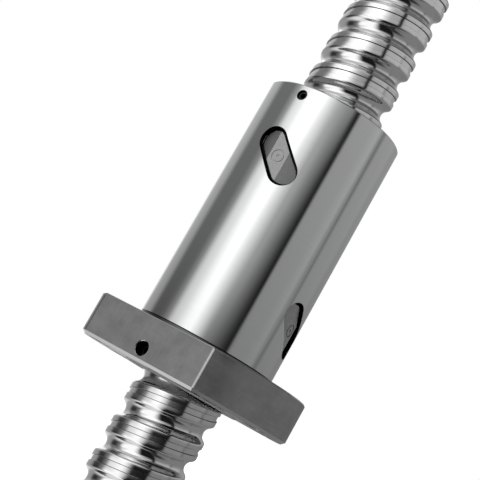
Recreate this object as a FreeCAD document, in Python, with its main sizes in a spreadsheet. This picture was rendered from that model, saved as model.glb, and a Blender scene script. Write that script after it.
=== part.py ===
import FreeCAD, Part
import math
import os

import Sketcher

# A flanged ball nut for a 25 mm ball screw with a 10 mm right-hand lead, on a stretch of its screw.
# Frame: +Z is the screw axis, from the flange to the nut's far end. The origin is on the axis at the
# flange's mounting face, so the nut's barrel is above z = 0 and its flange below. -Y faces the flange
# flat that holds the wiper's set screw. Azimuths are counted from -Y, counter-clockwise seen from +Z.

# Driving sizes in mm and degrees: name, value, what it is.
DRIVING = [
    ("lead", 10.0, "screw travel in one turn"),
    ("ball_size", 4.762, "ball diameter, 3/16 inch"),
    ("ball_circle", 26.4, "diameter of the circle through the balls' centres"),
    ("ball_clearance", 0.1, "ball to groove wall"),
    ("screw_size", 25.0, "screw diameter over its crests"),
    ("screw_below", 57.0, "screw end below the mounting face"),
    ("screw_above", 133.0, "screw end above the mounting face"),
    ("screw_end_bevel", 1.5, "bevel at each end of the screw"),
    ("crest_drop", 0.25, "how far a crest falls before the ball groove starts"),
    ("crest_round", 0.5, "axial width of that fall"),
    ("seam_depth", 0.5, "valley between the two rolled crests"),
    ("seam_width", 1.5, "width of that valley"),
    ("barrel_size", 40.0, "nut barrel diameter, g6"),
    ("barrel_length", 73.0, "barrel beyond the mounting face"),
    ("barrel_bevel", 0.3, "bevel at the barrel's far end"),
    ("relief_depth", 0.25, "grinding relief in the corner of barrel and flange, below the barrel"),
    ("relief_width", 0.9, "width of that relief above the mounting face"),
    ("flange_size", 62.0, "flange diameter"),
    ("flange_thickness", 12.0, "flange thickness"),
    ("flats", 48.0, "across the two flats"),
    ("front_bevel", 0.9, "bevel round the flange's outer face"),
    ("back_bevel", 0.4, "bevel round its mounting face and down the corners of the flats"),
    ("nut_bore", 26.8, "diameter over the nut's lands"),
    ("bolt_circle", 51.0, "bolt circle diameter"),
    ("bolt_hole", 6.6, "bolt hole diameter, for M6"),
    ("bolt_angle", 45.0, "angle between neighbouring bolts"),
    ("window_width", 8.0, "width of a deflector's slot"),
    ("window_run", 9.6, "distance between the slot's end centres"),
    ("window_slant", 45.0, "slant of the slot, against the thread"),
    ("window_height", 52.5, "height of the highest slot's centre"),
    ("window_azimuth", 10.5, "azimuth of that slot"),
    ("insert_fit", 0.1, "deflector foot to its slot, each side"),
    ("insert_gap", 0.85, "deflector crown to its slot, each side"),
    ("insert_crown", 2.4, "height of the narrower crown"),
    ("insert_sunk", 0.9, "crown's middle facet below the barrel surface"),
    ("facet_width", 5.0, "width of the middle facet"),
    ("facet_fall", 26.0, "slope of the two side facets"),
    ("mark_size", 3.7, "round ejector mark on the middle facet"),
    ("mark_width", 0.35, "width of its ring"),
    ("mark_dot", 0.9, "dot in its middle"),
    ("mark_depth", 0.15, "depth of ring and dot"),
    ("cross_angle", 24.0, "half the turn in which a ball crosses the land"),
    ("lift_angle", 34.0, "half the turn in which it leaves the groove and comes back"),
    ("lifted_angle", 6.8, "half the turn in which it is lifted all the way"),
    ("channel_angle", 46.0, "half the turn of the return channel"),
    ("lift_clearance", 0.15, "lifted ball to the screw's crest"),
    ("wiper_seat", 34.0, "diameter of the wiper seats"),
    ("wiper_depth", 7.4, "depth of the wiper seats"),
    ("wiper_fit", 0.1, "wiper to its seat"),
    ("wiper_gap", 0.25, "wiper to the screw"),
    ("front_proud", 0.4, "front wiper stands out of the flange"),
    ("rear_sunk", 0.3, "rear wiper lies below the barrel's end"),
    ("wiper_bevel", 0.6, "bevel round the wiper's outer end"),
    ("ring_wire", 1.2, "thickness of the annular spring"),
    ("ring_slot", 1.7, "width of its slot in the wiper"),
    ("ring_gap", 0.25, "annular spring to what surrounds it"),
    ("ring_inset", 1.4, "spring's centre to the wiper's inner end"),
    ("front_pin", 4.0, "set screw in the flange flat, M4"),
    ("front_pin_length", 5.0, "its length"),
    ("front_pin_height", 8.5, "its centre below the mounting face"),
    ("rear_pin", 3.0, "set screw in the barrel, M3"),
    ("rear_pin_length", 3.0, "its length"),
    ("rear_pin_setback", 2.9, "its centre below the barrel's end"),
    ("rear_pin_azimuth", 3.7, "its azimuth"),
    ("pin_mouth", 0.2, "bevel round the mouth of the hole in the flange flat"),
    ("pin_fit", 0.05, "set screw to its hole"),
    ("pin_reach", 0.7, "set screw point into the wiper"),
    ("pin_bevel", 0.2, "bevels of a set screw"),
    ("point_share", 0.5, "point diameter of a set screw against its own"),
    ("key_share", 0.5, "hexagon socket of a set screw against its diameter"),
    ("oil_hole", 5.0, "tapping drill of the M6 lubrication hole"),
    ("oil_depth", 6.0, "its depth below the rear flat"),
    ("oil_height", 6.0, "its centre below the mounting face"),
    ("oil_drill", 2.0, "drill hole from it to the ball track"),
    ("oil_drill_slant", 45.0, "slant of that drill hole"),
    ("oil_drill_rise", 1.8, "its start above the lubrication hole's centre"),
    ("oil_drill_start", 1.25, "its start outside that hole's floor"),
]
CIRCUITS = 4
BALLS_IN_GROOVE = 14
BALLS_ON_LAND = 3
LAND_BALL_AZIMUTH = 14.0
CHANNEL_POINTS = 17
BOLTS_PER_SIDE = 3
HEXAGON = 6

# How far a cutting shape runs past what it cuts.
CLEAR_OF = 1.0

doc = FreeCAD.newDocument("ball_screw_nut")
sheet = doc.addObject("Spreadsheet::Sheet", "sizes")
for row, (name, value, meaning) in enumerate(DRIVING, start=1):
    sheet.set(f"A{row}", meaning)
    sheet.set(f"B{row}", str(value))
    sheet.setAlias(f"B{row}", name)
doc.recompute()


class Size:
    """A size that knows its number and the sheet formula behind it."""

    def __init__(self, value, formula):
        self.value = value
        self.formula = formula

    def __add__(self, other):
        return combine(self, other, "+", self.value + number(other))

    def __sub__(self, other):
        return combine(self, other, "-", self.value - number(other))

    def __mul__(self, other):
        return combine(self, other, "*", self.value * number(other))

    def __truediv__(self, other):
        return combine(self, other, "/", self.value / number(other))

    def __neg__(self):
        return Size(-self.value, f"(-1 * {self.formula})")


def number(item):
    return item.value if isinstance(item, Size) else float(item)


def formula(item):
    return item.formula if isinstance(item, Size) else f"({float(item)})"


def combine(first, second, sign, value):
    return Size(value, f"({formula(first)} {sign} {formula(second)})")


def cosine(angle):
    return Size(math.cos(math.radians(angle.value)), f"cos({angle.formula} * 1 deg)")


def sine(angle):
    return Size(math.sin(math.radians(angle.value)), f"sin({angle.formula} * 1 deg)")


def tangent(angle):
    return Size(math.tan(math.radians(angle.value)), f"tan({angle.formula} * 1 deg)")


S = {name: Size(value, f"sizes.{name}") for name, value, meaning in DRIVING}

# Sizes that follow from the driving ones.
ball_r = S["ball_size"] / 2
track_r = S["ball_circle"] / 2
groove_r = ball_r + S["ball_clearance"]
screw_r = S["screw_size"] / 2
barrel_r = S["barrel_size"] / 2
flange_r = S["flange_size"] / 2
bore_r = S["nut_bore"] / 2
seat_r = S["wiper_seat"] / 2
lifted_r = screw_r + ball_r + S["lift_clearance"]
crown_r = barrel_r - S["insert_sunk"]
window_step = S["lead"] * (1 + 1 / CIRCUITS)
window_turn = 360 / CIRCUITS
front_end = -S["flange_thickness"]
front_seat = S["wiper_depth"] - S["flange_thickness"]
rear_seat = S["barrel_length"] - S["wiper_depth"]

# Height of the groove's centre where it crosses +X (azimuth 90), on the turn below the highest window.
# A window's centre lies on the middle of the land, half a lead from the groove.
groove_at_x = S["window_height"] + S["lead"] * ((90 - S["window_azimuth"].value) / 360 - 0.5)


def turns_below(height):
    """Whole turns from groove_at_x down to a turn that is clear below this height."""
    return math.ceil((groove_at_x.value - number(height)) / S["lead"].value + CLEAR_OF)


def origin_feature(body, role):
    return [item for item in body.Origin.OriginFeatures if item.Role == role][0]


def new_body(name):
    body = doc.addObject("PartDesign::Body", name)
    body.Label = name
    return body


def new_sketch(body, name, plane, up=0, out=0, azimuth=0.0):
    """An empty sketch on one of the body's origin planes, moved up and out along its normal.

    A sketch on XZ_Plane faces -Y and turns about Z by azimuth.
    """
    sketch = body.newObject("Sketcher::SketchObject", name)
    sketch.AttachmentSupport = (origin_feature(body, plane), [""])
    sketch.MapMode = "FlatFace"
    turn = FreeCAD.Rotation(FreeCAD.Vector(0, 1, 0), azimuth)
    place = FreeCAD.Vector(0, number(up), 0) + turn.multVec(FreeCAD.Vector(0, 0, number(out)))
    sketch.AttachmentOffset = FreeCAD.Placement(place, turn)
    if isinstance(up, Size):
        sketch.setExpression("AttachmentOffset.Base.y", up.formula)
    if isinstance(out, Size):
        angle = Size(azimuth, str(azimuth))
        sketch.setExpression("AttachmentOffset.Base.x", (out * sine(angle)).formula)
        sketch.setExpression("AttachmentOffset.Base.z", (out * cosine(angle)).formula)
    return sketch


def bind(sketch, kind, *where_and_size):
    """A dimension of the sketch, tied to the sheet when it is a Size."""
    *where, size = where_and_size
    index = sketch.addConstraint(Sketcher.Constraint(kind, *where, number(size)))
    if isinstance(size, Size):
        sketch.setExpression(f"Constraints[{index}]", size.formula)


def pin_point(sketch, geometry, point, x, y):
    """Holds a point of the sketch at x, y."""
    if isinstance(x, Size):
        bind(sketch, "DistanceX", -1, 1, geometry, point, x)
    else:
        sketch.addConstraint(Sketcher.Constraint("PointOnObject", geometry, point, -2))
    if isinstance(y, Size):
        bind(sketch, "DistanceY", -1, 1, geometry, point, y)
    else:
        sketch.addConstraint(Sketcher.Constraint("PointOnObject", geometry, point, -1))


def draw_outline(sketch, corners):
    """A closed outline of straight lines. A coordinate is a Size, or 0 for the axis."""
    spots = [FreeCAD.Vector(number(x), number(y), 0) for x, y in corners]
    first = sketch.GeometryCount
    count = len(corners)
    for i in range(count):
        sketch.addGeometry(Part.LineSegment(spots[i], spots[(i + 1) % count]), False)
    for i in range(count):
        after = first + (i + 1) % count
        sketch.addConstraint(Sketcher.Constraint("Coincident", first + i, 2, after, 1))
    for i, (x, y) in enumerate(corners):
        pin_point(sketch, first + i, 1, x, y)


def draw_circle(sketch, x, y, radius):
    centre = FreeCAD.Vector(number(x), number(y), 0)
    index = sketch.addGeometry(Part.Circle(centre, FreeCAD.Vector(0, 0, 1), radius.value), False)
    bind(sketch, "Radius", index, radius)
    pin_point(sketch, index, 3, x, y)


def draw_slot(sketch, run, width, slant):
    """A round-ended slot about the sketch's centre that falls to the right."""
    across = run / 2 * cosine(slant)
    along = run / 2 * sine(slant)
    radius = width / 2
    up = FreeCAD.Vector(0, 0, 1)
    left = FreeCAD.Vector(-across.value, along.value, 0)
    right = FreeCAD.Vector(across.value, -along.value, 0)
    tilt = math.radians(-slant.value)
    side = FreeCAD.Vector(-math.sin(tilt), math.cos(tilt), 0) * radius.value
    start = tilt + math.pi / 2
    ends = []
    for centre, first in ((left, start), (right, start + math.pi)):
        circle = Part.Circle(centre, up, radius.value)
        ends.append(sketch.addGeometry(Part.ArcOfCircle(circle, first, first + math.pi), False))
    top = sketch.addGeometry(Part.LineSegment(right + side, left + side), False)
    foot = sketch.addGeometry(Part.LineSegment(left - side, right - side), False)
    for arc, arc_end, line, line_end in (
        (ends[0], 1, top, 2), (ends[0], 2, foot, 1), (ends[1], 1, foot, 2), (ends[1], 2, top, 1),
    ):
        sketch.addConstraint(Sketcher.Constraint("Tangent", arc, arc_end, line, line_end))
    sketch.addConstraint(Sketcher.Constraint("Equal", ends[0], ends[1]))
    bind(sketch, "Radius", ends[0], radius)
    pin_point(sketch, ends[0], 3, -across, along)
    pin_point(sketch, ends[1], 3, across, -along)


def revolve(body, sketch, name, cut=False):
    feature = body.newObject("PartDesign::Groove" if cut else "PartDesign::Revolution", name)
    feature.Profile = sketch
    feature.ReferenceAxis = (origin_feature(body, "Z_Axis"), [""])
    feature.Angle = 360
    return feature


def extrude(body, sketch, name, length, cut=False, outward=True):
    """A pad or pocket on the side that the sketch faces, or on its other side."""
    feature = body.newObject("PartDesign::Pocket" if cut else "PartDesign::Pad", name)
    feature.Profile = sketch
    feature.Length = number(length)
    if isinstance(length, Size):
        feature.setExpression("Length", length.formula)
    feature.Reversed = outward == cut
    return feature


def wind(body, sketch, name, height, cut=True):
    """Sweeps the sketch up the right-hand thread by this height."""
    feature = body.newObject("PartDesign::SubtractiveHelix" if cut else "PartDesign::AdditiveHelix", name)
    feature.Profile = sketch
    feature.ReferenceAxis = (origin_feature(body, "Z_Axis"), [""])
    feature.Mode = 0
    feature.LeftHanded = False
    feature.setExpression("Pitch", S["lead"].formula)
    feature.setExpression("Height", height.formula)
    return feature


def bevel(body, name, size, wanted):
    """Chamfers the body's edges whose ends and middle all pass the test."""
    doc.recompute()
    base = body.Tip
    edges = []
    for i, edge in enumerate(base.Shape.Edges, start=1):
        middle = edge.valueAt((edge.FirstParameter + edge.LastParameter) / 2)
        if all(wanted(point) for point in [middle, *(vertex.Point for vertex in edge.Vertexes)]):
            edges.append(f"Edge{i}")
    feature = body.newObject("PartDesign::Chamfer", name)
    feature.Base = (base, edges)
    feature.Size = size.value
    feature.setExpression("Size", size.formula)
    return feature


def axis_distance(point):
    return math.hypot(point.x, point.y)


def near(first, second):
    return abs(first - number(second)) < 0.001


def make_nut_body():
    body = new_body("nut_body")
    section = new_sketch(body, "nut_section", "XZ_Plane")
    mouth = S["back_bevel"]
    relief_r = barrel_r - S["relief_depth"]
    length = S["barrel_length"]
    draw_outline(section, [
        (seat_r + mouth, front_end),
        (flange_r, front_end),
        (flange_r, 0),
        (barrel_r + S["relief_depth"], 0),
        (relief_r, -S["relief_depth"] * 2),
        (relief_r, S["relief_width"]),
        (barrel_r, S["relief_width"] + S["relief_depth"]),
        (barrel_r, length - S["barrel_bevel"]),
        (barrel_r - S["barrel_bevel"], length),
        (seat_r + mouth, length),
        (seat_r, length - mouth),
        (seat_r, rear_seat),
        (bore_r, rear_seat),
        (bore_r, front_seat),
        (seat_r, front_seat),
        (seat_r, front_end + mouth),
    ])
    revolve(body, section, "nut_turned")

    # The two flats, each milled over the whole thickness of the flange.
    beyond = flange_r + CLEAR_OF
    flat = S["flats"] / 2
    sides = new_sketch(body, "flats_section", "XY_Plane", out=front_end)
    for way in (1, -1):
        near_y, far_y = flat * way, beyond * way
        draw_outline(sides, [(-beyond, near_y), (beyond, near_y), (beyond, far_y), (-beyond, far_y)])
    extrude(body, sides, "flats_milled", S["flange_thickness"], cut=True)

    outside = barrel_r.value + CLEAR_OF
    bevel(body, "front_bevelled", S["front_bevel"],
          lambda p: near(p.z, front_end) and axis_distance(p) > outside)
    bevel(body, "back_bevelled", S["back_bevel"],
          lambda p: near(p.z, 0) and axis_distance(p) > outside)
    corner_x = math.sqrt(flange_r.value ** 2 - flat.value ** 2)
    bevel(body, "corners_bevelled", S["back_bevel"],
          lambda p: near(abs(p.x), corner_x) and near(abs(p.y), flat))

    # Three bolt holes on each side, about the line along the flats.
    holes = new_sketch(body, "bolt_holes_section", "XY_Plane", out=front_end)
    reach = S["bolt_circle"] / 2
    for way in (1, -1):
        for step in range(BOLTS_PER_SIDE):
            angle = S["bolt_angle"] * (step - (BOLTS_PER_SIDE - 1) / 2)
            high = reach * sine(angle) if angle.value else 0
            draw_circle(holes, reach * cosine(angle) * way, high, S["bolt_hole"] / 2)
    extrude(body, holes, "bolt_holes", S["flange_thickness"], cut=True)

    for k in range(CIRCUITS):
        azimuth, height = window_place(k)
        window = new_sketch(body, f"window_{k + 1}_section", "XZ_Plane", height, azimuth=azimuth)
        draw_slot(window, S["window_run"], S["window_width"], S["window_slant"])
        extrude(body, window, f"window_{k + 1}", barrel_r + CLEAR_OF, cut=True)

    for name, azimuth, height, size in (
        ("front_pin_hole", 0.0, -S["front_pin_height"], S["front_pin"]),
        ("rear_pin_hole", S["rear_pin_azimuth"].value, rear_pin_height(), S["rear_pin"]),
    ):
        hole = new_sketch(body, f"{name}_section", "XZ_Plane", height, azimuth=azimuth)
        draw_circle(hole, 0, 0, size / 2)
        extrude(body, hole, name, flange_r + CLEAR_OF, cut=True)

    pin_r = S["front_pin"].value / 2
    pin_z = -S["front_pin_height"].value
    bevel(body, "front_pin_mouth", S["pin_mouth"],
          lambda p: near(p.y, -flat) and near(math.hypot(p.x, p.z - pin_z), pin_r))

    # The ball groove runs the whole bore, from one wiper seat into the other.
    start = groove_at_x - S["lead"] * turns_below(front_seat)
    track = new_sketch(body, "groove_section", "XZ_Plane")
    draw_circle(track, track_r, start, groove_r)
    wind(body, track, "ball_groove", rear_seat + S["lead"] - start)

    # The lubrication hole in the rear flat, and the drill hole that slants up from it past the wiper.
    oil_r = S["oil_hole"] / 2
    floor = flat - S["oil_depth"]
    port = new_sketch(body, "oil_hole_section", "XZ_Plane", -S["oil_height"], -floor)
    draw_circle(port, 0, 0, oil_r)
    extrude(body, port, "oil_hole", S["oil_depth"] + CLEAR_OF, cut=True, outward=False)
    drill = new_sketch(body, "oil_drill_section", "XY_Plane")
    start_y = floor + S["oil_drill_start"]
    start_z = S["oil_drill_rise"] - S["oil_height"]
    turn = FreeCAD.Rotation(FreeCAD.Vector(1, 0, 0), S["oil_drill_slant"].value)
    drill.AttachmentOffset = FreeCAD.Placement(FreeCAD.Vector(0, start_y.value, start_z.value), turn)
    drill.setExpression("AttachmentOffset.Base.y", start_y.formula)
    drill.setExpression("AttachmentOffset.Base.z", start_z.formula)
    draw_circle(drill, 0, 0, S["oil_drill"] / 2)
    reach = (start_y - bore_r + CLEAR_OF) / sine(S["oil_drill_slant"])
    extrude(body, drill, "oil_drill", reach, cut=True)
    return body


def window_place(k):
    """Azimuth and height of deflector k, counted down from the far end."""
    return S["window_azimuth"].value - window_turn * k, S["window_height"] - window_step * k


def rear_pin_height():
    return S["barrel_length"] - S["rear_pin_setback"]


def make_screw():
    body = new_body("screw_shaft")
    low, high = -S["screw_below"], S["screw_above"]
    cut = S["screw_end_bevel"]
    section = new_sketch(body, "screw_section", "XZ_Plane")
    draw_outline(section, [
        (0, low), (screw_r - cut, low), (screw_r, low + cut),
        (screw_r, high - cut), (screw_r - cut, high), (0, high),
    ])
    revolve(body, section, "screw_turned")

    # The ball groove with its fallen crests, and the seam between the two crests half a lead above it.
    start = groove_at_x - S["lead"] * turns_below(low)
    height = high + S["lead"] * 2 - start
    outer = screw_r + S["crest_drop"]
    edge_r = screw_r - S["crest_drop"]
    half = math.sqrt(groove_r.value ** 2 - (track_r.value - edge_r.value) ** 2)
    track = new_sketch(body, "groove_section", "XZ_Plane")
    middle = FreeCAD.Vector(track_r.value, start.value, 0)
    sweep = math.asin(half / groove_r.value)
    circle = Part.Circle(middle, FreeCAD.Vector(0, 0, 1), groove_r.value)
    arc = track.addGeometry(Part.ArcOfCircle(circle, math.pi - sweep, math.pi + sweep), False)
    rise = number(S["crest_round"]) * 2
    upper, lower = start.value + half, start.value - half
    points = [
        FreeCAD.Vector(edge_r.value, upper, 0),
        FreeCAD.Vector(outer.value, upper + rise, 0),
        FreeCAD.Vector(outer.value, lower - rise, 0),
        FreeCAD.Vector(edge_r.value, lower, 0),
    ]
    lines = [track.addGeometry(Part.LineSegment(points[i], points[i + 1]), False) for i in range(3)]
    track.addConstraint(Sketcher.Constraint("Coincident", arc, 1, lines[0], 1))
    track.addConstraint(Sketcher.Constraint("Coincident", lines[0], 2, lines[1], 1))
    track.addConstraint(Sketcher.Constraint("Coincident", lines[1], 2, lines[2], 1))
    track.addConstraint(Sketcher.Constraint("Coincident", lines[2], 2, arc, 2))
    track.addConstraint(Sketcher.Constraint("Vertical", lines[1]))
    bind(track, "Radius", arc, groove_r)
    pin_point(track, arc, 3, track_r, start)
    bind(track, "DistanceX", -1, 1, arc, 1, edge_r)
    bind(track, "DistanceX", -1, 1, arc, 2, edge_r)
    bind(track, "DistanceX", -1, 1, lines[1], 1, outer)
    bind(track, "DistanceY", lines[0], 1, lines[0], 2, S["crest_round"] * 2)
    bind(track, "DistanceY", lines[2], 1, lines[2], 2, S["crest_round"] * 2)
    wind(body, track, "ball_groove", height)

    seam = new_sketch(body, "seam_section", "XZ_Plane")
    seam_z = start + S["lead"] / 2
    flare = S["seam_width"] / 2 * (1 + S["crest_drop"].value / S["seam_depth"].value)
    draw_outline(seam, [
        (screw_r - S["seam_depth"], seam_z), (outer, seam_z + flare), (outer, seam_z - flare),
    ])
    wind(body, seam, "crest_seam", height)
    return body


def ball_place(azimuth):
    """Centre of a ball at this azimuth from a deflector, in the deflector's own frame.

    In the groove a ball follows the thread. Near azimuth 0 the deflector lifts it off the groove, takes it
    down over the land by one lead and sets it into the turn where it came from.
    """
    lead = S["lead"].value
    share = max(-1.0, min(1.0, azimuth / S["cross_angle"].value))
    height = lead * azimuth / 360 - lead / 2 * (1.5 * share - 0.5 * share ** 3)
    outer, inner = S["lift_angle"].value, S["lifted_angle"].value
    rise = max(0.0, min(1.0, (outer - abs(azimuth)) / (outer - inner)))
    lift = (lifted_r.value - track_r.value) * (3 * rise ** 2 - 2 * rise ** 3)
    turn = math.radians(azimuth)
    radius = track_r.value + lift
    return FreeCAD.Vector(radius * math.sin(turn), -radius * math.cos(turn), height)


def circuit_placement(k):
    azimuth, height = window_place(k)
    turn = FreeCAD.Rotation(FreeCAD.Vector(0, 0, 1), azimuth)
    return FreeCAD.Placement(FreeCAD.Vector(0, 0, height.value), turn)


def make_channel(k):
    """The return channel under deflector k, a tube along the balls' way over the land."""
    reach = S["channel_angle"].value
    azimuths = [-reach + 2 * reach * i / (CHANNEL_POINTS - 1) for i in range(CHANNEL_POINTS)]
    curve = Part.BSplineCurve()
    curve.interpolate([ball_place(azimuth) for azimuth in azimuths])
    path = Part.Wire([curve.toShape()])
    start = curve.value(curve.FirstParameter)
    heading = curve.tangent(curve.FirstParameter)[0]
    ring = Part.Wire([Part.makeCircle(groove_r.value, start, heading)])
    channel = doc.addObject("Part::Feature", f"channel_{k + 1}")
    channel.Shape = path.makePipeShell([ring], True, False)
    return channel


def make_deflector(k):
    name = f"deflector_{k + 1}"
    body = new_body(f"{name}_blank")
    waist = crown_r - S["insert_crown"]
    inner = screw_r - CLEAR_OF
    foot = new_sketch(body, f"{name}_foot_section", "XZ_Plane", out=inner)
    draw_slot(foot, S["window_run"], S["window_width"] - S["insert_fit"] * 2, S["window_slant"])
    extrude(body, foot, f"{name}_foot", waist - inner)
    crown = new_sketch(body, f"{name}_crown_section", "XZ_Plane", out=waist)
    draw_slot(crown, S["window_run"], S["window_width"] - S["insert_gap"] * 2, S["window_slant"])
    extrude(body, crown, f"{name}_crown", S["insert_crown"])

    # The two side facets fall away from the middle one.
    facets = new_sketch(body, f"{name}_facet_section", "XY_Plane")
    half = S["facet_width"] / 2
    fall = (S["window_run"] + S["window_width"]) / 2
    for way in (1, -1):
        draw_outline(facets, [
            (half * way, -crown_r),
            ((half + fall) * way, -crown_r + fall * tangent(S["facet_fall"])),
            ((half + fall) * way, -crown_r - CLEAR_OF),
            (half * way, -crown_r - CLEAR_OF),
        ])
    cut = extrude(body, facets, f"{name}_facets", S["barrel_size"], cut=True)
    cut.Midplane = True

    mark = new_sketch(body, f"{name}_mark_section", "XZ_Plane", out=crown_r)
    for radius in (S["mark_size"] / 2, S["mark_size"] / 2 - S["mark_width"], S["mark_dot"] / 2):
        draw_circle(mark, 0, 0, radius)
    extrude(body, mark, f"{name}_mark", S["mark_depth"], cut=True, outward=False)

    # The inner end is round, flush with the nut's lands.
    bore = new_sketch(body, f"{name}_bore_section", "XY_Plane")
    draw_circle(bore, 0, 0, bore_r)
    cut = extrude(body, bore, f"{name}_bore", S["barrel_size"], cut=True)
    cut.Midplane = True

    deflector = doc.addObject("Part::Cut", name)
    deflector.Label = name
    deflector.Base = body
    deflector.Tool = make_channel(k)
    deflector.Placement = circuit_placement(k)
    return deflector


def make_ball_circuit(k):
    """The balls of one circuit: most in the groove, three on their way over the land."""
    name = f"ball_circuit_{k + 1}"
    start = S["lift_angle"].value
    pitch = (360 - 2 * start) / (BALLS_IN_GROOVE - 1)
    azimuths = [start + pitch * i for i in range(BALLS_IN_GROOVE)]
    middle = (BALLS_ON_LAND - 1) / 2
    azimuths += [LAND_BALL_AZIMUTH * (i - middle) for i in range(BALLS_ON_LAND)]
    half_turn = S["lead"].value / 2
    balls = []
    for i, azimuth in enumerate(azimuths):
        ball = doc.addObject("Part::Sphere", f"{name}_ball_{i + 1}")
        ball.Radius = ball_r.value
        ball.setExpression("Radius", ball_r.formula)
        if azimuth < start:
            spot = ball_place(azimuth)
        else:
            turn = math.radians(azimuth)
            rise = S["lead"].value * azimuth / 360 - half_turn
            spot = FreeCAD.Vector(track_r.value * math.sin(turn), -track_r.value * math.cos(turn), rise)
        ball.Placement = circuit_placement(k).multiply(FreeCAD.Placement(spot, FreeCAD.Rotation()))
        balls.append(ball)
    circuit = doc.addObject("Part::Compound", name)
    circuit.Label = name
    circuit.Links = balls
    return circuit


def make_wiper(name, inner_end, outer_end, way, pin_height, azimuth, pin_size):
    """A plastic wiper ring. Its rib runs in the screw's groove, its spring lies in an outer slot."""
    body = new_body(name)
    bore = screw_r + S["wiper_gap"]
    outside = seat_r - S["wiper_fit"]
    low, high = (outer_end, inner_end) if way < 0 else (inner_end, outer_end)
    start = groove_at_x - S["lead"] * turns_below(low)
    rib = new_sketch(body, f"{name}_rib_section", "XZ_Plane")
    draw_circle(rib, track_r, start, groove_r - S["wiper_gap"])
    wind(body, rib, f"{name}_rib", high + S["lead"] - start, cut=False)

    ring = new_sketch(body, f"{name}_ring_section", "XZ_Plane")
    bevelled = outer_end - S["wiper_bevel"] * way
    draw_outline(ring, [
        (bore, inner_end), (outside, inner_end), (outside, bevelled),
        (outside - S["wiper_bevel"], outer_end), (bore, outer_end),
    ])
    revolve(body, ring, f"{name}_ring")

    # Both ends are cut square through the rib, and the spring's slot is turned.
    ends = new_sketch(body, f"{name}_ends_section", "XZ_Plane")
    far = track_r + groove_r + CLEAR_OF
    bottom, top = start - S["lead"], high + S["lead"] * 2
    draw_outline(ends, [(0, bottom), (far, bottom), (far, low), (0, low)])
    draw_outline(ends, [(0, high), (far, high), (far, top), (0, top)])
    revolve(body, ends, f"{name}_ends", cut=True)
    slot = new_sketch(body, f"{name}_slot_section", "XZ_Plane")
    floor = seat_r - S["ring_wire"] - S["ring_gap"] * 2
    middle = inner_end + S["ring_inset"] * way
    half = S["ring_slot"] / 2
    beyond = seat_r + CLEAR_OF
    draw_outline(slot, [
        (floor, middle - half), (beyond, middle - half), (beyond, middle + half), (floor, middle + half),
    ])
    revolve(body, slot, f"{name}_slot", cut=True)

    # A blind hole takes the point of the set screw.
    depth = S["pin_reach"] + S["wiper_fit"] * 2
    hole = new_sketch(body, f"{name}_hole_section", "XZ_Plane", pin_height, seat_r - depth, azimuth)
    draw_circle(hole, 0, 0, pin_size * S["point_share"] / 2 + S["wiper_fit"])
    extrude(body, hole, f"{name}_hole", depth + CLEAR_OF, cut=True)
    return body


def make_ring_spring(name, height):
    ring = doc.addObject("Part::Torus", name)
    ring.Label = name
    middle = seat_r - S["ring_gap"] - S["ring_wire"] / 2
    ring.setExpression("Radius1", middle.formula)
    ring.setExpression("Radius2", (S["ring_wire"] / 2).formula)
    ring.Placement = FreeCAD.Placement(FreeCAD.Vector(0, 0, height.value), FreeCAD.Rotation())
    ring.setExpression("Placement.Base.z", height.formula)
    return ring


def make_set_screw(name, size, length, height, azimuth):
    """A socket set screw with a dog point, made upright and then laid along its radius."""
    body = new_body(name)
    outer_r = size / 2 - S["pin_fit"]
    point_r = size * S["point_share"] / 2
    step = S["pin_reach"] + S["wiper_fit"]
    lip = S["pin_bevel"]
    section = new_sketch(body, f"{name}_section", "XZ_Plane")
    draw_outline(section, [
        (0, 0), (0, length), (outer_r - lip, length), (outer_r, length - lip),
        (outer_r, step + lip), (outer_r - lip, step), (point_r, step), (point_r, 0),
    ][::-1])
    revolve(body, section, f"{name}_turned")
    socket = new_sketch(body, f"{name}_socket_section", "XY_Plane", out=length)
    across = size * S["key_share"] / 2
    corner = across / cosine(Size(180 / HEXAGON, str(180 / HEXAGON)))
    spots = []
    for i in range(HEXAGON):
        angle = Size(360 * i / HEXAGON, str(360 * i / HEXAGON))
        spots.append((corner * cosine(angle), corner * sine(angle) if i % (HEXAGON / 2) else 0))
    draw_outline(socket, spots)
    extrude(body, socket, f"{name}_socket", length / 2, cut=True, outward=False)
    turn = FreeCAD.Rotation(FreeCAD.Vector(0, 0, 1), azimuth)
    laid = turn.multiply(FreeCAD.Rotation(FreeCAD.Vector(1, 0, 0), 90))
    inner = seat_r.value - S["pin_reach"].value
    place = turn.multVec(FreeCAD.Vector(0, -inner, height.value))
    body.Placement = FreeCAD.Placement(place, laid)
    return body


nodes = [make_nut_body(), make_screw()]
for k in range(CIRCUITS):
    nodes.append(make_deflector(k))
    nodes.append(make_ball_circuit(k))

front_inner = front_seat - S["wiper_fit"]
front_outer = front_end - S["front_proud"]
rear_inner = rear_seat + S["wiper_fit"]
rear_outer = S["barrel_length"] - S["rear_sunk"]
rear_azimuth = S["rear_pin_azimuth"].value
nodes += [
    make_wiper("front_wiper", front_inner, front_outer, -1, -S["front_pin_height"], 0.0, S["front_pin"]),
    make_wiper("rear_wiper", rear_inner, rear_outer, 1, rear_pin_height(), rear_azimuth, S["rear_pin"]),
    make_ring_spring("front_wiper_spring", front_inner - S["ring_inset"]),
    make_ring_spring("rear_wiper_spring", rear_inner + S["ring_inset"]),
    make_set_screw("front_set_screw", S["front_pin"], S["front_pin_length"], -S["front_pin_height"], 0.0),
    make_set_screw("rear_set_screw", S["rear_pin"], S["rear_pin_length"], rear_pin_height(), rear_azimuth),
]
doc.recompute()

failed = [item.Name for item in doc.Objects if "Invalid" in item.State or "Error" in item.State]
if failed:
    raise RuntimeError(f"these objects failed: {failed}")
for node in nodes:
    if node.Shape.isNull() or not node.Shape.isValid() or not node.Shape.Solids:
        raise RuntimeError(f"{node.Label} has no valid solid")

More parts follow.
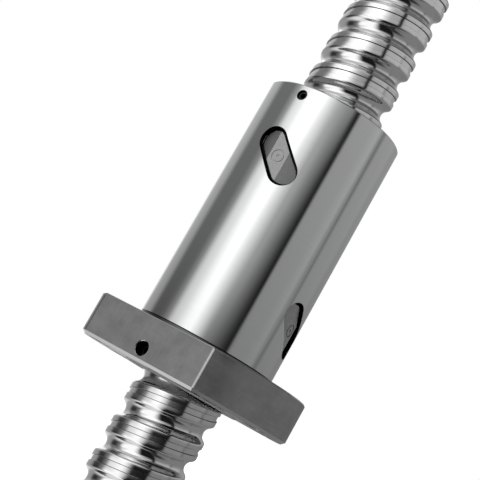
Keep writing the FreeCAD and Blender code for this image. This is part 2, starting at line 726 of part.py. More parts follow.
os.makedirs("parts", exist_ok=True)
for node in nodes:
    node.Shape.exportStep(f"parts/{node.Label}.step")
    print(node.Label, "solids", len(node.Shape.Solids), "volume", round(node.Shape.Volume, 1))
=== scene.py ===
"""A ball screw nut on its screw, on a plain studio floor.

All lengths are in metres, in the nut's own frame: +Z runs along the screw, the flange's mounting
face is at z = 0 and -Y faces the flange flat with the wiper's set screw. Azimuths are in degrees
and count from -Y towards +X.
"""

import math

import bmesh
import bpy
from mathutils import Matrix, Vector


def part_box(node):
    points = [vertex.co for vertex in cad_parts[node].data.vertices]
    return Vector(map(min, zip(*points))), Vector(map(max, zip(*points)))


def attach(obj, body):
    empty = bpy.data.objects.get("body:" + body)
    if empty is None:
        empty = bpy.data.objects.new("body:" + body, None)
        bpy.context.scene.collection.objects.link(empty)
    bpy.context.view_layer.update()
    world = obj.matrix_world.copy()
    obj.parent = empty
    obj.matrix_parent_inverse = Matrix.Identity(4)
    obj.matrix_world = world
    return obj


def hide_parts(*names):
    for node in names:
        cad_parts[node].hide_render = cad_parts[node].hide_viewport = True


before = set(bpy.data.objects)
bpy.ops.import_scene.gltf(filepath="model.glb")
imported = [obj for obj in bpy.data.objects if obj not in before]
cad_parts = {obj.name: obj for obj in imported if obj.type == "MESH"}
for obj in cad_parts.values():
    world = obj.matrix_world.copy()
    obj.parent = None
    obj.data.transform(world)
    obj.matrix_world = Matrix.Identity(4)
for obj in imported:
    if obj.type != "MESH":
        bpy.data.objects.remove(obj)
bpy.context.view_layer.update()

MM = 0.001

# The screw. The profile of its thread is measured along the axis from the middle of the ball
# groove: the groove's arc, the fall of the crest, the rolled lip, and the seam between two lips.
# CREST_FALL is the power of the falling curve.
LEAD = 10 * MM
SCREW_R = 12.5 * MM
END_BEVEL = 1.5 * MM
TRACK_R = 13.2 * MM
GROOVE_R = 2.48 * MM
GROOVE_EDGE = 2.15 * MM
CREST_START = 2.95 * MM
CREST_FALL = 2.2
LIP_END = 4.12 * MM
LIP_CROWN = 0.02 * MM
SEAM_FLOOR = 4.3 * MM
SEAM_DEPTH = 0.4 * MM

# The screw's mesh: its columns, the rows over each stretch of half the profile, and the leads of
# thread that are made past both ends before they are cut off.
COLUMNS = 100
STRETCHES = (
    (0, GROOVE_EDGE, 9),
    (GROOVE_EDGE, CREST_START, 5),
    (CREST_START, LIP_END, 3),
    (LIP_END, SEAM_FLOOR, 6),
    (SEAM_FLOOR, LEAD / 2, 2),
)
SPARE_LEADS = 2

# The nut, as its solids have it. FOOT_R is the radius that the inserts' feet stay inside.
BARREL_R = 20 * MM
BARREL_TOP = 73 * MM
FLANGE_R = 31 * MM
FLANGE_BOTTOM = -12 * MM
FLAT_Y = 24 * MM
NUT_MIDDLE = (BARREL_TOP + FLANGE_BOTTOM) / 2
NUT_HALF = (BARREL_TOP - FLANGE_BOTTOM) / 2
FOOT_R = 18.1 * MM

# The top slot lies on a land of the thread, half a lead above the groove. The groove's height on
# the X axis follows from that.
SLOT_AZIMUTH = 10.5
SLOT_HEIGHT = 52.5 * MM
GROOVE_AT_X = SLOT_HEIGHT + LEAD * ((90 - SLOT_AZIMUTH) / 360 - 0.5)

# Edges sharper than this many degrees stay sharp.
SOLID_EDGE = 28
THREAD_EDGE = 40

# A noise texture keeps between these nearly everywhere.
NOISE_LOW, NOISE_HIGH = 0.3, 0.7

# The screw's marks. It has so many tool lines to the lead. The dark folds take this share of the
# seam's sides and lie no deeper than this. A faced end points along the axis by at least this much,
# and its rings are so many times as high as the tool lines.
TOOL_LINES = (31, 83)
FOLD_SHARE = 0.9
FOLD_DEPTH = 0.7 * MM
FACED_TILT = 0.93
RING_RISE = 12.0

# The camera, fitted to the photograph.
VIEW_AZIMUTH = 36.9
VIEW_ELEVATION = -8.5
VIEW_ROLL = 29.65
VIEW_DISTANCE = 334 * MM
VIEW_TARGET = Vector((-5.0, -3.75, 30.75)) * MM
PHOTO_SIZE = 480
FOCAL_PIXELS = 1224.2

# The studio that the steel mirrors. The tent's wall: azimuth from the camera's side, and grey.
TENT_WALL = [
    (-180, "#c0c0c0"),
    (-168, "#cecece"),
    (-160, "#c0c0c0"),
    (-152, "#989898"),
    (-128, "#8c8c8c"),
    (-116, "#5c5c5c"),
    (-90, "#5c5c5c"),
    (-80, "#7e7e7e"),
    (-70, "#c4c4c4"),
    (-60, "#d4d4d4"),
    (-46, "#f8f8f8"),
    (-36, "#ffffff"),
    (-24, "#d4d4d4"),
    (-10, "#a0a0a0"),
    (8, "#6e6e6e"),
    (20, "#404040"),
    (27, "#161616"),
    (29, "#161616"),
    (33, "#808080"),
    (60, "#828282"),
    (76, "#8c8c8c"),
    (86, "#585858"),
    (93, "#7e7e7e"),
    (124, "#808080"),
    (136, "#767676"),
    (156, "#727272"),
    (172, "#747474"),
    (179, "#8c8c8c"),
]
# What hangs and lies in the tent: azimuths from the camera's side and half the width of their soft
# edges, heights and half the width of theirs, all in degrees, and grey.
PANELS = [
    ("low_box_left", (-75, -30), 9, (-90, -4), 8, "#ffffff"),
    ("low_bounce_left", (-135, -68), 12, (-90, -44), 12, "#e0e0e0"),
    ("low_wall_right", (34, 128), 6, (-90, 0), 12, "#787878"),
    ("floor_right", (26, 72), 16, (-90, -32), 14, "#2c2c2c"),
    ("flag_under_lens", (-16, 31), 9, (-90, 3), 6, "#181818"),
    ("flag_left", (-116, -94), 6, (-30, 2), 8, "#303030"),
    ("strip_box_front", (-4, 21), 4, (17, 34), 5, "#868686"),
    ("strip_box_right", (38, 128), 6, (19, 28), 4, "#8e8e8e"),
    ("ceiling_left", (-112, 0), 16, (28, 90), 8, "#989898"),
    ("ceiling_right", (14, 150), 14, (30, 90), 7, "#484848"),
    ("ceiling_back_left", (-160, -112), 14, (28, 50), 8, "#505050"),
]
# The tent is brighter higher up: its strength at the horizon, and where the sine of the height is
# at least TENT_CLIMB.
TENT_LOW, TENT_HIGH = 1.4, 2.2
TENT_CLIMB = 0.3

# Two soft boxes for the dull pieces: azimuth, height, size and watts. The ceiling lights evenly.
# The floor lies a gap below the screw.
LAMPS = [
    ("key", VIEW_AZIMUTH - 45, 0.7, (0.5, 0.7), 6.0),
    ("fill", VIEW_AZIMUTH + 60, 0.5, (0.6, 0.6), 3.0),
]
LAMP_DISTANCE = 0.8
CEILING_STRENGTH = 4.0
CEILING_SPREAD = 100
FLOOR_SIZE = 6.0
FLOOR_GAP = 1 * MM


def colour(hex_code):
    """The linear colour of an sRGB hex value."""
    parts = [int(hex_code[i:i + 2], 16) / 255 for i in (1, 3, 5)]
    linear = [p / 12.92 if p <= 0.04045 else ((p + 0.055) / 1.055) ** 2.4 for p in parts]
    return (*linear, 1.0)


def add_node(tree, kind, inputs=None, **settings):
    """Adds a node with its settings. Each of its inputs takes a value, or a link from an output."""
    node = tree.nodes.new(kind)
    for name, value in settings.items():
        setattr(node, name, value)
    for name, value in (inputs or {}).items():
        if isinstance(value, bpy.types.NodeSocket):
            tree.links.new(value, node.inputs[name])
        else:
            node.inputs[name].default_value = value
    return node


def new_material(name):
    material = bpy.data.materials.new(name)
    material.use_nodes = True
    material.node_tree.nodes.clear()
    return material, material.node_tree


def finish_material(tree, shader):
    add_node(tree, "ShaderNodeOutputMaterial", {"Surface": shader.outputs["BSDF"]})


def stretched_position(tree, scale):
    """Object coordinates times a scale for each axis, in patterns per metre."""
    place = add_node(tree, "ShaderNodeTexCoord")
    return add_node(
        tree, "ShaderNodeVectorMath", {0: place.outputs["Object"], 1: scale}, operation="MULTIPLY"
    ).outputs["Vector"]


def axis_distance(tree):
    """The distance from the screw's axis."""
    way = stretched_position(tree, (1, 1, 0))
    return add_node(tree, "ShaderNodeVectorMath", {0: way}, operation="LENGTH").outputs["Value"]


def helix_height(tree):
    """The height above the thread: z less the lead for the azimuth, in leads."""
    place = add_node(tree, "ShaderNodeTexCoord")
    axes = add_node(tree, "ShaderNodeSeparateXYZ", {0: place.outputs["Object"]})
    turn = add_node(
        tree, "ShaderNodeMath", {0: axes.outputs["Y"], 1: axes.outputs["X"]}, operation="ARCTAN2"
    ).outputs[0]
    leads = add_node(
        tree, "ShaderNodeMath", {0: axes.outputs["Z"], 1: LEAD}, operation="DIVIDE"
    ).outputs[0]
    turns = add_node(
        tree, "ShaderNodeMath", {0: turn, 1: 2 * math.pi}, operation="DIVIDE"
    ).outputs[0]
    return add_node(tree, "ShaderNodeMath", {0: leads, 1: turns}, operation="SUBTRACT").outputs[0]


def nut_surfaces(tree):
    """Masks of the nut body's surfaces, each 1 on its own surface and 0 elsewhere. The margins keep
    it off the surfaces and bevels beside it."""
    place = add_node(tree, "ShaderNodeTexCoord")
    axes = add_node(tree, "ShaderNodeSeparateXYZ", {0: place.outputs["Object"]})
    height = axes.outputs["Z"]
    radius = axis_distance(tree)
    side = add_node(tree, "ShaderNodeMath", {0: axes.outputs["Y"]}, operation="ABSOLUTE").outputs[0]
    above_middle = add_node(
        tree, "ShaderNodeMath", {0: height, 1: NUT_MIDDLE}, operation="SUBTRACT"
    ).outputs[0]
    from_middle = add_node(
        tree, "ShaderNodeMath", {0: above_middle}, operation="ABSOLUTE"
    ).outputs[0]
    surfaces = {
        "flange": ((height, "LESS_THAN", 0.1 * MM),),
        "end_faces": ((from_middle, "GREATER_THAN", NUT_HALF - 0.03 * MM),),
        "rim": ((radius, "GREATER_THAN", FLANGE_R - 0.12 * MM),),
        "flats": ((side, "GREATER_THAN", FLAT_Y - 0.1 * MM),),
        "bore_and_slots": (
            (radius, "LESS_THAN", BARREL_R - 0.12 * MM),
            (height, "LESS_THAN", BARREL_TOP - 0.5 * MM),
            (height, "GREATER_THAN", FLANGE_BOTTOM + 0.04 * MM),
        ),
        "flange_holes": (
            (radius, "LESS_THAN", FLANGE_R - 0.8 * MM),
            (side, "LESS_THAN", FLAT_Y - 0.7 * MM),
            (height, "LESS_THAN", -0.12 * MM),
            (height, "GREATER_THAN", FLANGE_BOTTOM + 0.4 * MM),
        ),
        "relief": (
            (radius, "GREATER_THAN", BARREL_R - 0.4 * MM),
            (radius, "LESS_THAN", BARREL_R + 0.14 * MM),
            (height, "LESS_THAN", 1.16 * MM),
            (height, "GREATER_THAN", -0.56 * MM),
        ),
    }
    masks = {}
    for surface, limits in surfaces.items():
        for value, operation, limit in limits:
            part = add_node(
                tree, "ShaderNodeMath", {0: value, 1: limit}, operation=operation
            ).outputs[0]
            if surface in masks:
                part = add_node(
                    tree, "ShaderNodeMath", {0: masks[surface], 1: part}, operation="MULTIPLY"
                ).outputs[0]
            masks[surface] = part
    return masks


def ground_bearing_steel():
    """The nut body: hardened bearing steel. The barrel is cylindrical-ground, so it mirrors softly
    round the axis and shows very fine lines round it. The flange's mounting face and bevels are
    ground bright. Both ends of the nut and the flange's rim are turned and its flats are milled, so
    they are satin and darker, the flats with short streaks along the axis. Bore, slots and holes
    are tinted near black: painted shade of these recesses."""
    material, tree = new_material("ground_bearing_steel")
    place = add_node(tree, "ShaderNodeTexCoord")
    # Grinding lines 0.05 mm apart and some 17 mm long, drawn at 0.12 mm so that they show.
    lines = add_node(
        tree, "ShaderNodeTexNoise",
        {"Vector": stretched_position(tree, (60, 60, 1 / (0.12 * MM))), "Scale": 1.0,
         "Detail": 3.0},
    ).outputs["Fac"]
    # The cutter's streaks on the flats, 0.45 mm apart and some 6 mm long.
    streaks = add_node(
        tree, "ShaderNodeTexNoise",
        {"Vector": stretched_position(tree, (1 / (0.45 * MM), 0, 1 / (6 * MM))), "Scale": 1.0,
         "Detail": 3.0, "Distortion": 0.4},
    ).outputs["Fac"]
    # The lathe's lines on the rim and the ends, 0.2 mm apart, drawn at 0.3 mm so that they show.
    turned = add_node(
        tree, "ShaderNodeTexNoise",
        {"Vector": stretched_position(tree, (1 / (9 * MM), 1 / (9 * MM), 1 / (0.3 * MM))),
         "Scale": 1.0, "Detail": 4.0},
    ).outputs["Fac"]
    # Stains over 15 mm everywhere, and clouds over 5 mm on the rim and the flats.
    stains = add_node(
        tree, "ShaderNodeTexNoise",
        {"Vector": place.outputs["Object"], "Scale": 1 / (15 * MM), "Detail": 3.0,
         "Roughness": 0.6},
    ).outputs["Fac"]
    clouds = add_node(
        tree, "ShaderNodeTexNoise",
        {"Vector": place.outputs["Object"], "Scale": 1 / (5 * MM), "Detail": 5.0,
         "Roughness": 0.65},
    ).outputs["Fac"]
    rim_marks = add_node(
        tree, "ShaderNodeMix", {"Factor": 0.7, "A": turned, "B": clouds}
    ).outputs["Result"]
    flat_marks = add_node(
        tree, "ShaderNodeMix", {"Factor": 0.75, "A": streaks, "B": clouds}
    ).outputs["Result"]

    tint = add_node(
        tree, "ShaderNodeMix", {"Factor": lines, "A": colour("#c9cacb"), "B": colour("#d3d3d3")},
        data_type="RGBA",
    ).outputs["Result"]
    rough = add_node(
        tree, "ShaderNodeMapRange",
        {"Value": stains, "From Min": NOISE_LOW, "From Max": NOISE_HIGH, "To Min": 0.075,
         "To Max": 0.11},
    ).outputs["Result"]
    # Over the barrel's finish, each surface's own: its pattern, two tints and two roughnesses.
    finishes = (
        ("flange", stains, "#c0c0c0", "#cccccc", 0.16, 0.24),
        ("end_faces", turned, "#909090", "#a4a4a4", 0.24, 0.34),
        ("rim", rim_marks, "#767676", "#bebebe", 0.38, 0.46),
        ("flats", flat_marks, "#666666", "#a8a8a8", 0.34, 0.5),
        # Bore, slots and flange holes get near black tints: painted shade of the recesses.
        ("bore_and_slots", stains, "#141414", "#202020", 0.5, 0.6),
        ("flange_holes", stains, "#141414", "#202020", 0.5, 0.6),
        # The relief at the barrel's foot gets a darker grey: a painted shade line of the gap above
        # the flange.
        ("relief", stains, "#585858", "#6c6c6c", 0.3, 0.4),
    )
    masks = nut_surfaces(tree)
    for surface, pattern, dark, light, smoothest, roughest in finishes:
        own_tint = add_node(
            tree, "ShaderNodeMix", {"Factor": pattern, "A": colour(dark), "B": colour(light)},
            data_type="RGBA",
        ).outputs["Result"]
        own_rough = add_node(
            tree, "ShaderNodeMapRange",
            {"Value": pattern, "From Min": NOISE_LOW, "From Max": NOISE_HIGH, "To Min": smoothest,
             "To Max": roughest},
        ).outputs["Result"]
        tint = add_node(
            tree, "ShaderNodeMix", {"Factor": masks[surface], "A": tint, "B": own_tint},
            data_type="RGBA",
        ).outputs["Result"]
        rough = add_node(
            tree, "ShaderNodeMix", {"Factor": masks[surface], "A": rough, "B": own_rough}
        ).outputs["Result"]
    bump = add_node(
        tree, "ShaderNodeBump", {"Height": lines, "Strength": 0.05, "Distance": 0.01 * MM}
    )
    shader = add_node(
        tree, "ShaderNodeBsdfPrincipled",
        {"Base Color": tint, "Metallic": 1.0, "Roughness": rough, "Normal": bump.outputs["Normal"]},
    )
    finish_material(tree, shader)
    return material


def fold_mask(tree, height, radius):
    """1 in the folds at both sides of the seam, where the rolled lips end, and 0 elsewhere."""
    past_groove = add_node(
        tree, "ShaderNodeMath", {0: height, 1: GROOVE_AT_X / LEAD}, operation="SUBTRACT"
    ).outputs[0]
    share = add_node(tree, "ShaderNodeMath", {0: past_groove}, operation="FRACT").outputs[0]
    past_seam = add_node(
        tree, "ShaderNodeMath", {0: share, 1: 0.5}, operation="SUBTRACT"
    ).outputs[0]
    from_seam = add_node(tree, "ShaderNodeMath", {0: past_seam}, operation="ABSOLUTE").outputs[0]
    fold_middle = 0.5 - (LIP_END + SEAM_FLOOR) / 2 / LEAD
    fold_reach = (SEAM_FLOOR - LIP_END) * FOLD_SHARE / 2 / LEAD
    in_fold = add_node(
        tree, "ShaderNodeMath", {0: from_seam, 1: fold_middle, 2: fold_reach}, operation="COMPARE"
    ).outputs[0]
    near_crest = add_node(
        tree, "ShaderNodeMath", {0: radius, 1: SCREW_R - FOLD_DEPTH}, operation="GREATER_THAN"
    ).outputs[0]
    return add_node(
        tree, "ShaderNodeMath", {0: in_fold, 1: near_crest}, operation="MULTIPLY"
    ).outputs[0]


def rolled_screw_steel():
    """The screw: hardened steel, thread-rolled and polished, so nearly a mirror. Faint tool lines
    run along the crests and the groove, about 0.3 and 0.1 mm apart. The folds where the rolled lips
    end are tinted dark grey. The ends are faced on a lathe, so they are satin with rings."""
    material, tree = new_material("rolled_screw_steel")
    height = helix_height(tree)
    radius = axis_distance(tree)
    waves = []
    for lines in TOOL_LINES:
        angle = add_node(
            tree, "ShaderNodeMath", {0: height, 1: 2 * math.pi * lines}, operation="MULTIPLY"
        ).outputs[0]
        waves.append(add_node(tree, "ShaderNodeMath", {0: angle}, operation="SINE").outputs[0])
    tool_lines = add_node(
        tree, "ShaderNodeMath", {0: waves[0], 1: waves[1]}, operation="ADD"
    ).outputs[0]
    # The polish varies over patches of 6 mm.
    patches = add_node(
        tree, "ShaderNodeTexNoise",
        {"Vector": stretched_position(tree, (1 / (6 * MM),) * 3), "Scale": 1.0, "Detail": 3.0},
    ).outputs["Fac"]
    thread_rough = add_node(
        tree, "ShaderNodeMapRange",
        {"Value": patches, "From Min": NOISE_LOW, "From Max": NOISE_HIGH, "To Min": 0.06,
         "To Max": 0.12},
    ).outputs["Result"]
    thread_tint = add_node(
        tree, "ShaderNodeMix",
        {"Factor": fold_mask(tree, height, radius), "A": colour("#d9d9d9"), "B": colour("#4a4a4a")},
        data_type="RGBA",
    ).outputs["Result"]

    # The lathe's rings on the ends, 0.2 mm apart, drawn at 0.7 mm so that they show.
    place = add_node(tree, "ShaderNodeTexCoord")
    tilt = add_node(tree, "ShaderNodeSeparateXYZ", {0: place.outputs["Normal"]}).outputs["Z"]
    upright = add_node(tree, "ShaderNodeMath", {0: tilt}, operation="ABSOLUTE").outputs[0]
    on_end = add_node(
        tree, "ShaderNodeMath", {0: upright, 1: FACED_TILT}, operation="GREATER_THAN"
    ).outputs[0]
    ring_angle = add_node(
        tree, "ShaderNodeMath", {0: radius, 1: 2 * math.pi / (0.7 * MM)}, operation="MULTIPLY"
    ).outputs[0]
    ring_wave = add_node(tree, "ShaderNodeMath", {0: ring_angle}, operation="SINE").outputs[0]
    rings = add_node(
        tree, "ShaderNodeMath", {0: ring_wave, 1: RING_RISE}, operation="MULTIPLY"
    ).outputs[0]

    relief = add_node(
        tree, "ShaderNodeMix", {"Factor": on_end, "A": tool_lines, "B": rings}
    ).outputs["Result"]
    rough = add_node(
        tree, "ShaderNodeMix", {"Factor": on_end, "A": thread_rough, "B": 0.26}
    ).outputs["Result"]
    tint = add_node(
        tree, "ShaderNodeMix", {"Factor": on_end, "A": thread_tint, "B": colour("#b4b4b4")},
        data_type="RGBA",
    ).outputs["Result"]
    bump = add_node(
        tree, "ShaderNodeBump", {"Height": relief, "Strength": 0.12, "Distance": 0.004 * MM}
    )
    shader = add_node(
        tree, "ShaderNodeBsdfPrincipled",
        {"Base Color": tint, "Metallic": 1.0, "Roughness": rough, "Normal": bump.outputs["Normal"]},
    )
    finish_material(tree, shader)
    return material


def sintered_steel():
    """The return inserts: metal injection moulded steel, grey and satin, with a grain of about
    0.15 mm on the facets that show, drawn at 0.3 mm. Their sides and feet, deep in the slots, are
    tinted near black as painted shade."""
    material, tree = new_material("sintered_steel")
    grain = add_node(
        tree, "ShaderNodeTexNoise",
        {"Vector": stretched_position(tree, (1 / (0.3 * MM),) * 3), "Scale": 1.0, "Detail": 4.0,
         "Roughness": 0.7},
    ).outputs["Fac"]
    facet_tint = add_node(
        tree, "ShaderNodeMix", {"Factor": grain, "A": colour("#6a6a6a"), "B": colour("#989898")},
        data_type="RGBA",
    ).outputs["Result"]
    # A facet lies outside the foot and faces away from the screw's axis, within 41 to 60 degrees.
    place = add_node(tree, "ShaderNodeTexCoord")
    outward = add_node(
        tree, "ShaderNodeVectorMath", {0: stretched_position(tree, (1, 1, 0))},
        operation="NORMALIZE",
    ).outputs["Vector"]
    facing = add_node(
        tree, "ShaderNodeVectorMath", {0: outward, 1: place.outputs["Normal"]},
        operation="DOT_PRODUCT",
    ).outputs["Value"]
    faces_out = add_node(
        tree, "ShaderNodeMapRange",
        {"Value": facing, "From Min": 0.5, "From Max": 0.75, "To Min": 0.0, "To Max": 1.0},
    ).outputs["Result"]
    above_foot = add_node(
        tree, "ShaderNodeMath", {0: axis_distance(tree), 1: FOOT_R}, operation="GREATER_THAN"
    ).outputs[0]
    on_facet = add_node(
        tree, "ShaderNodeMath", {0: faces_out, 1: above_foot}, operation="MULTIPLY"
    ).outputs[0]
    # Off the facets the inserts are tinted near black: painted shade in the slots.
    tint = add_node(
        tree, "ShaderNodeMix", {"Factor": on_facet, "A": colour("#141414"), "B": facet_tint},
        data_type="RGBA",
    ).outputs["Result"]
    bump = add_node(
        tree, "ShaderNodeBump", {"Height": grain, "Strength": 0.28, "Distance": 0.02 * MM}
    )
    shader = add_node(
        tree, "ShaderNodeBsdfPrincipled",
        {"Base Color": tint, "Metallic": 0.82, "Roughness": 0.36, "Normal": bump.outputs["Normal"]},
    )
    finish_material(tree, shader)
    return material


def turned_acetal():
    """The wipers: grey acetal, turned, so matt with fine rings 0.4 mm apart round the axis."""
    material, tree = new_material("turned_acetal")
    outward = add_node(
        tree, "ShaderNodeMath", {0: axis_distance(tree), 1: 1 / (0.4 * MM)}, operation="MULTIPLY"
    ).outputs[0]
    rings = add_node(
        tree, "ShaderNodeTexNoise", {"W": outward, "Scale": 1.0, "Detail": 2.0},
        noise_dimensions="1D",
    ).outputs["Fac"]
    rough = add_node(
        tree, "ShaderNodeMapRange",
        {"Value": rings, "From Min": NOISE_LOW, "From Max": NOISE_HIGH, "To Min": 0.38,
         "To Max": 0.5},
    ).outputs["Result"]
    bump = add_node(
        tree, "ShaderNodeBump", {"Height": rings, "Strength": 0.2, "Distance": 0.02 * MM}
    )
    shader = add_node(
        tree, "ShaderNodeBsdfPrincipled",
        {"Base Color": colour("#5e5e5e"), "Roughness": rough, "IOR": 1.48,
         "Normal": bump.outputs["Normal"]},
    )
    finish_material(tree, shader)
    return material


def small_steel(name, tint, smoothest, roughest, grain):
    """Steel of a small piece whose roughness varies over grains of this size."""
    material, tree = new_material(name)
    spots = add_node(
        tree, "ShaderNodeTexNoise",
        {"Vector": stretched_position(tree, (1 / grain,) * 3), "Scale": 1.0, "Detail": 2.0},
    ).outputs["Fac"]
    rough = add_node(
        tree, "ShaderNodeMapRange",
        {"Value": spots, "From Min": NOISE_LOW, "From Max": NOISE_HIGH, "To Min": smoothest,
         "To Max": roughest},
    ).outputs["Result"]
    shader = add_node(
        tree, "ShaderNodeBsdfPrincipled",
        {"Base Color": colour(tint), "Metallic": 1.0, "Roughness": rough},
    )
    finish_material(tree, shader)
    return material


def white_floor_paint():
    material, tree = new_material("white_floor_paint")
    shader = add_node(
        tree, "ShaderNodeBsdfPrincipled", {"Base Color": colour("#f7f7f7"), "Roughness": 0.8}
    )
    finish_material(tree, shader)
    return material


def new_piece(name, mesh):
    data = bpy.data.meshes.new(name)
    mesh.to_mesh(data)
    mesh.free()
    piece = bpy.data.objects.new(name, data)
    bpy.context.scene.collection.objects.link(piece)
    return piece


def thread_radius(offset):
    """Radius of the screw at an axial offset of up to half a lead from its groove's middle."""
    s = abs(offset)
    if s <= GROOVE_EDGE:
        return TRACK_R - math.sqrt(GROOVE_R ** 2 - s ** 2)
    edge_r = TRACK_R - math.sqrt(GROOVE_R ** 2 - GROOVE_EDGE ** 2)
    if s < CREST_START:
        t = (s - GROOVE_EDGE) / (CREST_START - GROOVE_EDGE)
        return edge_r + (SCREW_R - edge_r) * (1 - (1 - t) ** CREST_FALL)
    if s <= LIP_END:
        t = (s - CREST_START) / (LIP_END - CREST_START)
        return SCREW_R - LIP_CROWN * t ** 2
    t = min((s - LIP_END) / (SEAM_FLOOR - LIP_END), 1)
    return SCREW_R - LIP_CROWN - (SEAM_DEPTH - LIP_CROWN) * t * t * (3 - 2 * t)


def row_offsets():
    """Axial offsets of the rows in one lead: closer together where the profile bends."""
    half = [0.0]
    for begin, end, rows in STRETCHES:
        half += [begin + (end - begin) * i / rows for i in range(1, rows + 1)]
    return [-s for s in reversed(half[1:])] + half[:-1]


def make_screw():
    """The screw with its thread, its rows following the helix, cut off square and bevelled at both
    ends."""
    low, high = (corner.z for corner in map(Vector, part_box("screw_shaft")))
    start = GROOVE_AT_X - LEAD * math.ceil((GROOVE_AT_X - low) / LEAD + SPARE_LEADS)
    leads = math.ceil((high - low) / LEAD) + 2 * SPARE_LEADS
    offsets = row_offsets()
    rows = [(start + LEAD * turn + s, thread_radius(s)) for turn in range(leads) for s in offsets]

    mesh = bmesh.new()
    grid = []
    for column in range(COLUMNS):
        angle = 2 * math.pi * column / COLUMNS
        line = []
        for height, radius in rows:
            z = height + LEAD * column / COLUMNS
            room = min(high - z, z - low)
            r = min(radius, SCREW_R - END_BEVEL + max(room, 0))
            line.append(mesh.verts.new((r * math.cos(angle), r * math.sin(angle), z)))
        grid.append(line)
    for left, right in zip(grid, grid[1:] + [grid[0][len(offsets):]]):
        for i in range(len(right) - 1):
            mesh.faces.new((left[i], right[i], right[i + 1], left[i + 1]))
    for z, side in ((high, 1), (low, -1)):
        cut = bmesh.ops.bisect_plane(
            mesh, geom=mesh.verts[:] + mesh.edges[:] + mesh.faces[:], plane_co=(0, 0, z),
            plane_no=(0, 0, side), clear_outer=True,
        )
        rim = [item for item in cut["geom_cut"] if isinstance(item, bmesh.types.BMEdge)]
        bmesh.ops.edgeloop_fill(mesh, edges=rim)
    bmesh.ops.recalc_face_normals(mesh, faces=mesh.faces)
    return new_piece("screw_thread", mesh)


def smooth_by_angle(piece, degrees):
    """Rounds the shading of a piece, except across edges sharper than this."""
    group = bpy.data.node_groups.new("smooth_by_angle", "GeometryNodeTree")
    group.interface.new_socket("Geometry", in_out="INPUT", socket_type="NodeSocketGeometry")
    group.interface.new_socket("Geometry", in_out="OUTPUT", socket_type="NodeSocketGeometry")
    into = add_node(group, "NodeGroupInput")
    faces = add_node(
        group, "GeometryNodeSetShadeSmooth",
        {"Geometry": into.outputs["Geometry"], "Shade Smooth": True},
    )
    angle = add_node(group, "GeometryNodeInputMeshEdgeAngle")
    gentle = add_node(
        group, "FunctionNodeCompare",
        {"A": angle.outputs["Unsigned Angle"], "B": math.radians(degrees)}, operation="LESS_EQUAL",
    )
    edges = add_node(
        group, "GeometryNodeSetShadeSmooth",
        {"Geometry": faces.outputs["Geometry"], "Shade Smooth": gentle.outputs["Result"]},
        domain="EDGE",
    )
    add_node(group, "NodeGroupOutput", {"Geometry": edges.outputs["Geometry"]})
    modifier = piece.modifiers.new("smooth_by_angle", "NODES")
    modifier.node_group = group


def give(piece, material):
    """Puts a material on a piece, in place of the one that it came with."""
    if piece.data.materials:
        piece.data.materials[0] = material
    else:
        piece.data.materials.append(material)


def panel_cover(tree, angle, height, azimuths, azimuth_edge, heights, height_edge):
    """How much a panel covers of a direction: 1 inside, fading to 0 across its soft edges."""
    cover = None
    sweeps = ((angle, azimuths, azimuth_edge), (height, heights, height_edge))
    for value, (low, high), edge in sweeps:
        for side, inward in ((low, 1), (high, -1)):
            # A panel that reaches straight up or down has no edge there.
            if abs(side) == 90 and value == height:
                continue
            part = add_node(
                tree, "ShaderNodeMapRange",
                {"Value": value, "From Min": math.radians(side - inward * edge),
                 "From Max": math.radians(side + inward * edge), "To Min": 0.0, "To Max": 1.0},
                interpolation_type="SMOOTHSTEP",
            ).outputs["Result"]
            if cover:
                part = add_node(
                    tree, "ShaderNodeMath", {0: cover, 1: part}, operation="MULTIPLY"
                ).outputs[0]
            cover = part
    return cover


